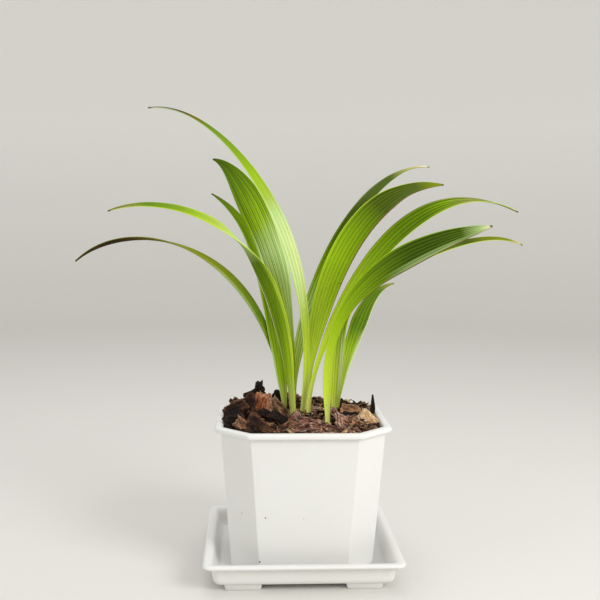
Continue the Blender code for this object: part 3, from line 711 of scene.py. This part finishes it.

# The table of leaves:
# midrib: five points of one smooth curve, the first at the soil
# widths: how far along the leaf, from 0 at the soil to 1 at the tip, and how wide it is there
# facing: turn of the upper face round the midrib in degrees, 0 to the front, at foot and tip
# turn: the stretch of the leaf over which it turns from one to the other
# pleats: how many folds lie side by side
# tones: greens of the raised folds towards the tip, after straw at the soil; the pale and mint
# middle stops of leaf_left_tall and leaf_left_broad are painted reflection
# shade: painted shade in the sunken folds: how much of the raised folds' green they keep at the
# foot and at the tip
# margins: greens of the two edges; gloss: roughness of the face, less for more gloss
# streak: a pale or bright band of painted sheen, with its middle and reach across the leaf,
# where it starts and ends along it, its green and its strength
Leaf = namedtuple(
    "Leaf", "name midrib widths facing turn pleats tones shade margins gloss streak marks")
LEAVES = [Leaf(*row) for row in (
    ("leaf_left_tall",
     ((0.3, -1, SOIL_HEIGHT), (16, -2, 237), (-15, -9, 307), (-70, -18, 380), (-122, -28, 371)),
     ((0, 3.6), (0.12, 4.8), (0.20, 5.0), (0.31, 7.6), (0.40, 10.2), (0.53, 10.8), (0.60, 9.4),
      (0.75, 7.2), (0.88, 4.8), (1, 1.3)),
     (-5, -68), (0.40, 1.0), 4,
     # Painted reflection: the pale and mint stops from 0.40 to 0.56.
     ((0.14, "lime"), (0.28, "lime"), (0.40, "pale"), (0.48, "pale"), (0.56, "mint"),
      (0.61, "spring"), (0.67, "fresh"), (0.75, "grass"), (0.84, "moss"), (0.88, "bronze"),
      (0.92, "umber")),
     (0.66, 0.60), ("mint", "mint"), 0.28, (0.2, 0.7, 0.24, 0.58, "mint", 0.8), ()),
    ("leaf_left_broad",
     ((-7.5, 6, SOIL_HEIGHT), (0, 7, 213), (-29, 11, 276), (-50, 16, 330), (-74, 22, 335)),
     ((0, 4.0), (0.20, 4.8), (0.30, 6.6), (0.36, 9.0), (0.42, 13.0), (0.49, 18.2), (0.56, 21.4),
      (0.64, 22.8), (0.77, 25.5), (0.87, 19.5), (1, 1.3)),
     (5, -25), (0.20, 0.90), 7,
     # Painted reflection: the mint stop at 0.60.
     ((0.15, "fresh"), (0.32, "lime"), (0.46, "spring"), (0.60, "mint"), (0.70, "fresh"),
      (0.80, "grass"), (0.88, "moss"), (0.96, "deep")),
     (0.38, 0.20), ("moss", "mint"), 0.26, (0.95, 0.6, 0.26, 0.74, "mint", 0.75),
     ((0.42, 0.565, 0.8), (0.46, 0.552, 0.6))),
    ("leaf_left_back",
     ((-14, 10, SOIL_HEIGHT), (-10, 12, 155), (-35, 21, 211), (-19, 34, 272), (-76, 48, 307)),
     ((0, 3.6), (0.05, 4.2), (0.11, 6.8), (0.17, 9.0), (0.29, 10.2), (0.45, 11.4), (0.65, 12.2),
      (0.85, 8.0), (1, 1.3)),
     (-10, -35), (0.30, 0.90), 4,
     ((0.15, "fresh"), (0.4, "grass"), (0.6, "fresh"), (0.84, "grass"), (0.95, "moss"),
      (1, "bronze")),
     (0.50, 0.44), ("mint", "rust"), 0.30, (0.05, 0.2, 0.02, 0.32, "mint", 0.6), ()),
    ("leaf_left_arched",
     ((-6.5, -3, SOIL_HEIGHT), (-15, -6, 252), (-43, -20, 290), (-114, -37, 307),
      (-149, -58, 291)),
     ((0, 4.6), (0.12, 6.8), (0.22, 11.5), (0.33, 14.2), (0.45, 14.0), (0.60, 11.6), (0.76, 9.2),
      (0.90, 6.0), (1, 1.3)),
     (-148, -58), (0.42, 0.70), 5,
     ((0.15, "fresh"), (0.3, "grass"), (0.5, "moss"), (0.57, "mint"), (0.67, "spring"),
      (0.73, "fresh"), (0.79, "grass"), (0.88, "moss"), (0.93, "olive"), (0.98, "bronze")),
     (0.42, 0.42), ("lime", "cream"), 0.30, (0.0, 0.26, 0.10, 0.52, "lime", 0.85), ()),
    ("leaf_left_low",
     ((-11.5, 18, SOIL_HEIGHT), (-21, 20, 227), (-76, 28, 279), (-153, 39, 284),
      (-193.6, 52, 248)),
     ((0, 3.4), (0.10, 4.4), (0.24, 6.8), (0.38, 8.6), (0.55, 9.0), (0.70, 7.8), (0.87, 5.0),
      (1, 1.3)),
     (-40, -140), (0.35, 0.99), 4,
     ((0.15, "fresh"), (0.32, "moss"), (0.50, "olive"), (0.64, "olive"), (0.73, "bronze"),
      (0.80, "umber"), (0.87, "soot"), (0.97, "umber")),
     (0.55, 0.60), ("olive", "umber"), 0.30, (0.1, 0.25, 0.24, 0.60, "glaucous", 0.5), ()),
    ("leaf_right_back",
     ((-4.5, 15, SOIL_HEIGHT), (-11, 19, 172), (14, 36, 269), (68, 59, 338), (120, 86, 334)),
     ((0, 3.4), (0.10, 4.8), (0.22, 9.0), (0.40, 10.2), (0.60, 10.8), (0.76, 9.4), (0.85, 6.0),
      (0.91, 2.6), (1, 1.2)),
     (15, 42), (0.30, 0.90), 4,
     ((0.15, "lime"), (0.3, "mint"), (0.42, "fresh"), (0.55, "moss"), (0.66, "loden"),
      (0.84, "loden"), (0.90, "ash"), (0.95, "sand"), (0.98, "cream")),
     (0.36, 0.58), ("moss", "moss"), 0.32, (0.5, 0.3, 0.15, 0.45, "mint", 0.3), ()),
    ("leaf_right_broad",
     ((5.5, 9, SOIL_HEIGHT), (5, 10, 189), (24, 16, 267), (61, 24, 319), (123, 34, 316)),
     ((0, 4.2), (0.15, 4.8), (0.24, 10.0), (0.36, 16.8), (0.53, 20.8), (0.70, 21.2), (0.79, 18.4),
      (0.86, 12.4), (0.93, 7.4), (1, 1.3)),
     (5, 28), (0.30, 0.90), 7,
     ((0.15, "lime"), (0.42, "fresh"), (0.54, "fresh"), (0.64, "grass"), (0.76, "loden"),
      (0.90, "loden"), (0.97, "olive")),
     (0.76, 0.52), ("lime", "rust"), 0.30, (0.3, 0.5, 0.12, 0.50, "lime", 0.5),
     ((0.93, 0.46, 1.0), (0.97, 0.43, 0.8))),
    ("leaf_right_long",
     ((6.5, -3.5, SOIL_HEIGHT), (1, -5, 162), (41, -11, 259), (97, -20, 331), (170, -30, 293)),
     ((0, 3.6), (0.18, 4.0), (0.28, 7.6), (0.42, 11.0), (0.60, 14.2), (0.72, 13.2), (0.82, 9.6),
      (0.92, 5.4), (1, 1.3)),
     (10, 118), (0.60, 1.12), 5,
     ((0.15, "lime"), (0.4, "fresh"), (0.54, "grass"), (0.64, "moss"), (0.72, "moss"),
      (0.79, "grass"), (0.86, "ash"), (0.92, "olive"), (0.96, "loden")),
     (0.75, 0.36), ("rust", "lime"), 0.24, (0.3, 0.2, 0.1, 0.55, "lime", 0.5), ()),
    ("leaf_right_front",
     ((20, -29, SOIL_HEIGHT), (17, -32, 192), (18, -46, 224), (61, -64, 264), (135, -86, 282)),
     ((0, 3.8), (0.05, 4.4), (0.10, 6.4), (0.15, 7.7), (0.23, 7.6), (0.28, 7.2), (0.35, 8.4),
      (0.45, 10.8), (0.56, 15.0), (0.70, 18.9), (0.83, 15.4), (0.93, 8.6), (1, 1.6)),
     (-8, 25), (0.30, 0.90), 7,
     ((0.12, "lime"), (0.38, "fresh"), (0.52, "grass"), (0.62, "moss"), (0.72, "deep"),
      (0.90, "deep"), (0.96, "glaucous"), (0.99, "cream")),
     (0.82, 0.30), ("fresh", "rust"), 0.24, (0.88, 0.16, 0.60, 0.97, "glaucous", 0.7),
     ((0.35, 0.075, 1.4), (0.6, 0.16, 0.7))),
    ("leaf_right_narrow",
     ((28.5, 10, SOIL_HEIGHT), (41, 11, 249), (11, 17, 184), (127, 25, 298), (193, 34, 265)),
     ((0, 3.8), (0.055, 7.0), (0.10, 8.4), (0.16, 9.8), (0.22, 9.6), (0.30, 8.0), (0.45, 8.2),
      (0.65, 8.8), (0.81, 7.4), (0.92, 4.8), (1, 1.3)),
     (25, 58), (0.10, 0.55), 4,
     ((0.08, "lime"), (0.2, "spring"), (0.32, "grass"), (0.6, "grass"), (0.72, "moss"),
      (0.80, "loden"), (0.87, "olive"), (0.95, "olive"), (0.985, "sand")),
     (0.50, 0.45), ("lime", "lime"), 0.28, (0.78, 0.30, 0.04, 0.28, "pale", 0.9),
     ((0.5, 0.06, 1.5),)),
    ("leaf_right_short",
     ((31.5, 15, SOIL_HEIGHT), (31, 18, 153), (53, 34, 190), (53, 54, 222), (88, 78, 228)),
     ((0, 3.4), (0.10, 4.0), (0.19, 6.0), (0.27, 7.8), (0.35, 9.6), (0.42, 11.8), (0.51, 13.2),
      (0.60, 14.4), (0.74, 11.0), (0.88, 5.6), (1, 1.4)),
     (10, 30), (0.30, 0.90), 5,
     ((0.1, "lime"), (0.24, "spring"), (0.4, "fresh"), (0.55, "moss"), (0.86, "moss"),
      (0.97, "ash")),
     (0.55, 0.48), ("rust", "pale"), 0.28, (0.9, 0.16, 0.12, 0.55, "pale", 0.7),
     ((0.75, 0.6, 0.8), (0.3, 0.5, 0.7))),
)]


def ramped(amount, stops):
    """Colour read from a row of named greens by an amount from 0 to 1."""
    made = node(amount.id_data, "ValToRGB", {"Fac": amount})
    row = made.color_ramp.elements
    while len(row) < len(stops):
        row.new(0.5)
    for element, (place, green) in zip(row, stops):
        element.position = place
        element.color = linear(GREENS[green])
    return made.outputs["Color"]


def leaf_finish(leaf, length):
    """Leaf: greens along it, painted shade in folds, veins, painted sheen, margins, specks, dry
    tip.
    """
    material, tree, shader = new_finish(leaf.name)
    surface_place = node(tree, "UVMap", uv_map="leaf").outputs["UV"]
    split = node(tree, "SeparateXYZ", {"Vector": surface_place})
    across, along = split.outputs["X"], split.outputs["Y"]
    drift = stretched(surface_place, (leaf.pleats * 0.9, 2.2, 1.0), (*leaf.midrib[0][:2], 0))
    uneven = cloudy(drift)
    veins = cloudy(stretched(surface_place, (leaf.pleats * 5.0, 1.0, 1.0)), detail=1.0)
    patches = cloudy(stretched(surface_place, (2.0, length / 40, 1.0)))
    phase = added(times(across, 2 * math.pi * leaf.pleats), times(uneven, 1.6))
    wave, fine_wave = reckoned("COSINE", phase), reckoned("COSINE", times(phase, 2.0))
    fold = added(mapped(wave, 0.2, 1.0, 0.0, 0.85), mapped(fine_wave, 0.4, 1.0, 0.0, 0.42),
                 mapped(uneven, 0.3, 0.7, -0.30, 0.40), mapped(veins, 0.35, 0.65, -0.14, 0.14))
    # Painted shade: the sunken folds are multiplied darker by leaf.shade, over the leaf's own
    # darker pleat lines.
    depth = mapped(along, 0.15, 0.75, *leaf.shade)
    green_depth, blue_depth = reckoned("POWER", depth, 0.85), reckoned("POWER", depth, 1.8)
    shade = node(tree, "CombineColor", {"Red": depth, "Green": green_depth, "Blue": blue_depth})
    colour = mixed(mapped(fold, 0.0, 1.0), ramped(along, ((0, "straw"), *leaf.tones)),
                   shade.outputs["Color"], "MULTIPLY")
    # Painted sheen: a pale band laid over part of the leaf, fainter in the sunken folds.
    middle, reach, start, end, green, strength = leaf.streak
    aside = reckoned("ABSOLUTE", reckoned("SUBTRACT", across, middle))
    along_it = reckoned("ABSOLUTE", reckoned("SUBTRACT", along, (start + end) / 2))
    streak = times(mapped(aside, reach, reach * 0.3, 0.0, strength),
                   mapped(along_it, (end - start) / 2, (end - start) / 5))
    streak = times(streak, mapped(fold, 0.2, 1.0, 1.0, 0.35))
    colour = mixed(streak, colour, linear(GREENS[green]))
    left, right = [linear(GREENS[green]) for green in leaf.margins]
    colour = mixed(mapped(across, 0.045, 0.012, 0.0, 0.85), colour, left)
    colour = mixed(mapped(across, 0.955, 0.988, 0.0, 0.85), colour, right)
    tip = added(along, times(patches, 0.02))
    colour = mixed(mapped(tip, 1.000, 1.008), colour, linear("#4c2c14"))
    real_place = node(tree, "VectorMath", {0: surface_place, 1: (MARKED_WIDTH, length, 0.0)},
                      operation="MULTIPLY").outputs[0]
    speck = specked(real_place, 0.16, (0.07, 0.045), (0.88, 0.90))
    for place_across, place_along, breadth in leaf.marks:
        spot = (MARKED_WIDTH * place_across, length * place_along, 0.0)
        away = away_from(real_place, spot)
        speck = reckoned("MAXIMUM", speck, mapped(away, breadth / 2, breadth / 3))
    colour = mixed(times(speck, 0.85), colour, linear("#3c2c14"))
    gloss = added(mapped(fold, 0.0, 1.0, leaf.gloss + 0.06, leaf.gloss - 0.02),
                  mapped(patches, 0.3, 0.7, 0.0, 0.10))
    fill_in(shader, {"Base Color": colour, "Roughness": gloss, "Specular IOR Level": 0.12})
    return material


def midrib_curve(leaf):
    """Points along the leaf's midrib, which is a Bezier curve, and the length up to each."""
    spread = []
    for sample in range(MIDRIB_SAMPLES + 1):
        points = [Vector(point) for point in leaf.midrib]
        while len(points) > 1:
            points = [a.lerp(b, sample / MIDRIB_SAMPLES) for a, b in zip(points, points[1:])]
        spread.append(points[0])
    lengths = [0.0]
    for a, b in zip(spread, spread[1:]):
        lengths.append(lengths[-1] + (b - a).length)
    return spread, lengths


def leaf_frame(leaf, curve, along):
    """Place on the midrib, the way across the blade and the way its upper face looks."""
    spread, lengths = curve
    distance = along * lengths[-1]
    if distance <= 0:
        direction = (spread[1] - spread[0]).normalized()
        place = spread[0] + direction * distance
    else:
        index = 1
        while index < MIDRIB_SAMPLES and lengths[index] < distance:
            index += 1
        share = (distance - lengths[index - 1]) / (lengths[index] - lengths[index - 1])
        place = spread[index - 1].lerp(spread[index], min(1.0, share))
        behind, ahead = spread[max(0, index - 4)], spread[min(MIDRIB_SAMPLES, index + 3)]
        direction = (ahead - behind).normalized()
    start, end = leaf.turn
    angle = math.radians(leaf.facing[0] + (leaf.facing[1] - leaf.facing[0])
                         * smooth_step((along - start) / (end - start)))
    front = Vector((0, -1, 0))
    front = (front - direction * front.dot(direction)).normalized()
    up_face = front * math.cos(angle) + front.cross(direction) * math.sin(angle)
    return place, direction.cross(up_face), up_face


def leaf_width(leaf, along):
    """Width of the leaf, from its list of widths joined by a smooth line."""
    stops = leaf.widths
    index = 0
    while index < len(stops) - 2 and along > stops[index + 1][0]:
        index += 1
    (start, start_width), (end, end_width) = stops[index], stops[index + 1]
    before, after = stops[max(0, index - 1)], stops[min(len(stops) - 1, index + 2)]
    start_slope = (end_width - before[1]) / (end - before[0])
    end_slope = (after[1] - start_width) / (after[0] - start)
    step = end - start
    share = min(1.0, max(0.0, (along - start) / step))
    back = share - 1
    return ((1 + 2 * share) * back * back * start_width + share * back * back * step * start_slope
            + share * share * (3 - 2 * share) * end_width + share * share * back * step * end_slope)


def leaf_point(leaf, width, along, across):
    """Height of the upper face over the midrib plane, and the thickness, at -1 to 1 across."""
    opened = smooth_step(along / OPENED_AT)
    channel = (STALK_CHANNEL + (BLADE_CHANNEL - STALK_CHANNEL) * opened) * width / 2
    thickness = STALK_THICKNESS + (BLADE_THICKNESS - STALK_THICKNESS) * opened
    thickness += (EDGE_THICKNESS - thickness) * across ** 4
    fold = FOLD_DEPTH * width / leaf.pleats
    fold *= smooth_step((along - 0.08) / 0.25) * (1 - smooth_step((along - 0.8) / 0.2))
    wave = -math.cos(math.pi * (across + 1) * leaf.pleats)
    return channel * (across * across - 0.4) + fold * wave, thickness


def model_leaf(leaf):
    """Lay a sheet along the midrib, and close it at the edges with a second sheet under it."""
    curve = midrib_curve(leaf)
    length = curve[1][-1]
    root = -ROOT_DEPTH / length
    blade = bmesh.new()
    uv_layer = blade.loops.layers.uv.new("leaf")
    columns = POINTS_PER_PLEAT * leaf.pleats
    bmesh.ops.create_grid(blade, x_segments=columns, y_segments=ROWS_ALONG, size=1)
    under = bmesh.ops.duplicate(blade, geom=blade.verts[:] + blade.edges[:] + blade.faces[:])
    under_verts = {item for item in under["geom"] if isinstance(item, bmesh.types.BMVert)}
    under_faces = [item for item in under["geom"] if isinstance(item, bmesh.types.BMFace)]
    bmesh.ops.reverse_faces(blade, faces=under_faces)
    rims = [edge for edge in blade.edges if edge.is_boundary]
    frames, uv_of = {}, {}
    for vertex in blade.verts:
        across, rise = vertex.co.x, vertex.co.y
        along = root + (1 - root) * (rise + 1) / 2
        key = round(rise * ROWS_ALONG)
        if key not in frames:
            frames[key] = (*leaf_frame(leaf, curve, along), leaf_width(leaf, along))
        place, sideways, up_face, width = frames[key]
        height, thickness = leaf_point(leaf, width, along, across)
        vertex.co = place + sideways * (across * width / 2) + up_face * height
        if vertex in under_verts:
            vertex.co -= up_face * thickness
        uv_of[vertex] = ((across + 1) / 2, along)
    bmesh.ops.bridge_loops(blade, edges=rims)
    for face in blade.faces:
        for corner in face.loops:
            corner[uv_layer].uv = uv_of[corner.vert]
    face_outwards(blade)
    piece(blade, leaf.name + "_blade", leaf_finish(leaf, length), leaf.name, 60)


for leaf in LEAVES:
    model_leaf(leaf)


# Studio
# A plain pale floor that curves up into a low round wall, with soft light from above and the front
# right, and a camera where the photographer stood: a little above the pot's rim and almost level.
FLOOR_RADIUS = 1.7
WALL_RADIUS = 2.6
WALL_HEIGHT = 1.25
WALL_FADE_HEIGHT = 0.6
WALL_CURVE_STEPS = 12
SPIN_STEPS = 96
SENSOR_WIDTH = 36.0
FOCAL_PIXELS = 937.84
IMAGE_SIDE = 600
CAMERA_PLACE = Vector((-42.71, -768.74, 287.43))
CAMERA_YAW, CAMERA_PITCH, CAMERA_ROLL = 0.05349, 0.08815, 0.00797

cove = bmesh.new()
curve_radius = WALL_RADIUS - FLOOR_RADIUS
profile = [(0.0, 0.0), (0.8, 0.0), (FLOOR_RADIUS, 0.0)]
for step in range(1, WALL_CURVE_STEPS + 1):
    angle = math.pi / 2 * step / WALL_CURVE_STEPS
    profile.append((FLOOR_RADIUS + curve_radius * math.sin(angle),
                    curve_radius * (1 - math.cos(angle))))
profile.append((WALL_RADIUS, WALL_HEIGHT))
line = [cove.verts.new((x, 0, z)) for x, z in profile]
edges = [cove.edges.new(pair) for pair in zip(line, line[1:])]
bmesh.ops.spin(cove, geom=line + edges, cent=(0, 0, 0), axis=(0, 0, 1), angle=2 * math.pi,
               steps=SPIN_STEPS, use_merge=True)
bmesh.ops.remove_doubles(cove, verts=cove.verts, dist=0.0001)
bmesh.ops.recalc_face_normals(cove, faces=cove.faces)
if cove.faces[:][0].normal.z < 0:
    bmesh.ops.reverse_faces(cove, faces=cove.faces)
cove_mesh = bpy.data.meshes.new("studio_floor")
cove.to_mesh(cove_mesh)
cove.free()
cove_mesh.shade_smooth()
paper, tree, shader = new_finish("studio_paper")
paper_place = node(tree, "TexCoord").outputs["Object"]
tooth = cloudy(paper_place, 900.0)
rise = node(tree, "SeparateXYZ", {"Vector": paper_place}).outputs["Z"]
paper_tone = mixed(tooth, linear("#dedcd7"), linear("#e4e2dd"))
# Painted light: the paper turns paler up the wall, to blend into the bright air behind it.
paper_tone = mixed(mapped(rise, 0.0, WALL_FADE_HEIGHT), paper_tone, linear("#f8f7f3"))
fill_in(shader, {"Base Color": paper_tone, "Roughness": 0.95, "Specular IOR Level": 0.1})
cove_mesh.materials.append(paper)
studio_floor = bpy.data.objects.new("studio_floor", cove_mesh)
bpy.context.scene.collection.objects.link(studio_floor)

world = bpy.data.worlds.new("studio_air")
world.use_nodes = True
fill_in(world.node_tree.nodes["Background"], {"Color": linear("#f8f8f6"), "Strength": 0.68})
bpy.context.scene.world = world


def soft_light(name, place, target, size, power):
    """A square soft box at a place in millimetres, facing a target."""
    lamp = bpy.data.lights.new(name, "AREA")
    lamp.size = size * MM
    lamp.energy = power
    stand = bpy.data.objects.new(name, lamp)
    stand.location = Vector(place) * MM
    stand.rotation_euler = (Vector(target) - Vector(place)).to_track_quat("-Z", "Y").to_euler()
    bpy.context.scene.collection.objects.link(stand)


soft_light("key_light", (900, -950, 820), (0, 0, 150), 600, 11.5)
soft_light("fill_light", (-1000, -600, 600), (0, 0, 150), 900, 1.4)
soft_light("top_light", (-150, 250, 1300), (0, 0, 200), 900, 4)

look = Vector((math.sin(CAMERA_YAW) * math.cos(CAMERA_PITCH),
               math.cos(CAMERA_YAW) * math.cos(CAMERA_PITCH), -math.sin(CAMERA_PITCH)))
level = look.cross(Vector((0, 0, 1))).normalized()
over = level.cross(look)
right = level * math.cos(CAMERA_ROLL) + over * math.sin(CAMERA_ROLL)
over = over * math.cos(CAMERA_ROLL) - level * math.sin(CAMERA_ROLL)
camera = bpy.data.objects.new("camera", bpy.data.cameras.new("camera"))
camera.data.sensor_width = SENSOR_WIDTH
camera.data.lens = SENSOR_WIDTH * FOCAL_PIXELS / IMAGE_SIDE
turned = Matrix((right, over, -look)).transposed().to_4x4()
camera.matrix_world = Matrix.Translation(CAMERA_PLACE * MM) @ turned
bpy.context.scene.collection.objects.link(camera)
bpy.context.scene.camera = camera
bpy.context.scene.view_settings.view_transform = "Standard"
